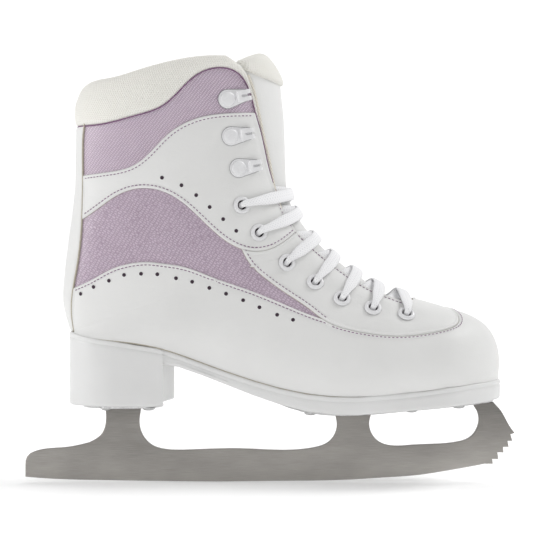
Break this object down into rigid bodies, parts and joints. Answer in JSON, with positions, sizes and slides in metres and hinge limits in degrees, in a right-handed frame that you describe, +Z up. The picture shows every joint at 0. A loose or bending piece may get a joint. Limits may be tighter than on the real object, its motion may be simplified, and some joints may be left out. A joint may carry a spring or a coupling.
{
  "type": "figure skate",
  "caption": "Lace-up figure skate: white and lavender padded ankle boot with a stacked heel, screwed to a steel blade with a toe pick. Only the right skate of a pair.",
  "frame": {"origin": "centre of the bounding box in plan, at the lowest point of the blade, which stands on the ground", "axes": "+X towards the toe, +Z up, -Y towards the lateral (outer) side of a right-foot skate"},
  "size_m": [0.2936, 0.0908, 0.2577],
  "materials": {
    "white_leather": "smooth, satin",
    "lavender_fabric": "raised diagonal weave with a soft sheen",
    "cream_mesh": "fine mesh over foam",
    "sole_white": "moulded, satin",
    "blade_steel": "brushed along the blade",
    "fastener_steel": "bright",
    "enamel_white": "white enamel",
    "lace_cotton": "flat tubular weave",
    "board": "pressed fibre",
    "footbed_foam": "foam with a cloth face"
  },
  "bodies": {
    "boot": {"ankle_pad_lateral": "footbed_foam", "ankle_pad_medial": "footbed_foam", "backstay": "white_leather", "blade": "blade_steel", "collar": "cream_mesh", "cuff_insert_lateral": "lavender_fabric", "cuff_insert_medial": "lavender_fabric", "eyelet_lateral_1": "enamel_white", "eyelet_lateral_2": "enamel_white", "eyelet_lateral_3": "enamel_white", "eyelet_lateral_4": "enamel_white", "eyelet_lateral_5": "enamel_white", "eyelet_lateral_6": "enamel_white", "eyelet_lateral_7": "enamel_white", "eyelet_medial_1": "enamel_white", "eyelet_medial_2": "enamel_white", "eyelet_medial_3": "enamel_white", "eyelet_medial_4": "enamel_white", "eyelet_medial_5": "enamel_white", "eyelet_medial_6": "enamel_white", "eyelet_medial_7": "enamel_white", "eyestay_overlay": "white_leather", "footbed": "footbed_foam", "heel_counter": "board", "heel_plate": "blade_steel", "heel_screw_1": "fastener_steel", "heel_screw_2": "fastener_steel", "heel_screw_3": "fastener_steel", "heel_screw_4": "fastener_steel", "hook_lateral_1": "enamel_white", "hook_lateral_2": "enamel_white", "hook_lateral_3": "enamel_white", "hook_medial_1": "enamel_white", "hook_medial_2": "enamel_white", "hook_medial_3": "enamel_white", "insole_board": "board", "lace": "lace_cotton", "lining": "cream_mesh", "lower_vamp": "white_leather", "outsole": "sole_white", "quarter_lateral": "white_leather", "quarter_medial": "white_leather", "shank": "fastener_steel", "side_insert_lateral": "lavender_fabric", "side_insert_medial": "lavender_fabric", "sole_plate": "blade_steel", "sole_screw_1": "fastener_steel", "sole_screw_2": "fastener_steel", "sole_screw_3": "fastener_steel", "sole_screw_4": "fastener_steel", "sole_screw_5": "fastener_steel", "sole_screw_6": "fastener_steel", "toe_puff": "board", "tongue_lower": "white_leather"},
    "tongue_flap": {"tongue_upper": "white_leather", "tongue_pad": "cream_mesh"}
  },
  "joints": [
    {"name": "tongue_fold", "type": "hinge", "parent": "boot", "child": "tongue_flap", "pos_m": [0.00991, 0, 0.18371], "axis": [0, 1, 0], "range_deg": [0, 38], "stiffness_Nm_per_rad": 0.05}
  ]
}
